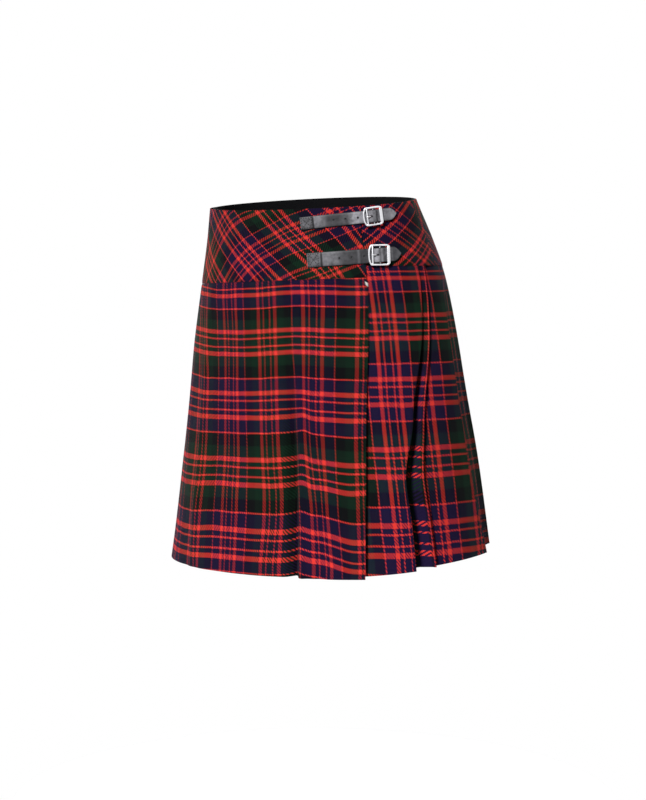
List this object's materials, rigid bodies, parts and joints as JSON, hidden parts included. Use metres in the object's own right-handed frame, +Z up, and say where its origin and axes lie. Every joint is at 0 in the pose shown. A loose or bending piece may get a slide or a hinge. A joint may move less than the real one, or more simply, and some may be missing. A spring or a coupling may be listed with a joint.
{
  "type": "tartan mini skirt",
  "caption": "Hollow kilt-style mini skirt with a bias hip yoke, flat wrap apron, knife pleats and buckled leather straps.",
  "frame": {"origin": "middle of the waist opening, at the mean height of its rim", "axes": "+X towards the wearer's left, -Y towards the wearer's front, +Z up"},
  "size_m": [0.4199, 0.3422, 0.4598],
  "materials": {
    "tartan": "matte twill, red, green and navy tartan on the straight grain",
    "tartan_bias": "matte twill, the same tartan cut on the bias",
    "lining": "matte black twill",
    "strap_leather": "semi-gloss black grain leather",
    "buckle_chrome": "polished plate"
  },
  "bodies": {
    "root": {"yoke_front": "tartan_bias", "yoke_under": "tartan_bias", "yoke_back": "tartan_bias", "waist_lining": "lining", "apron_outer": "tartan", "apron_under": "tartan", "pleats_left": "tartan", "pleats_back_left": "tartan", "pleats_back_right": "tartan", "pleats_right": "tartan", "strap_upper": "strap_leather", "strap_lower": "strap_leather", "chape_upper": "strap_leather", "chape_lower": "strap_leather", "buckle_upper": "buckle_chrome", "buckle_lower": "buckle_chrome", "prong_upper": "buckle_chrome", "prong_lower": "buckle_chrome"}
  },
  "joints": []
}
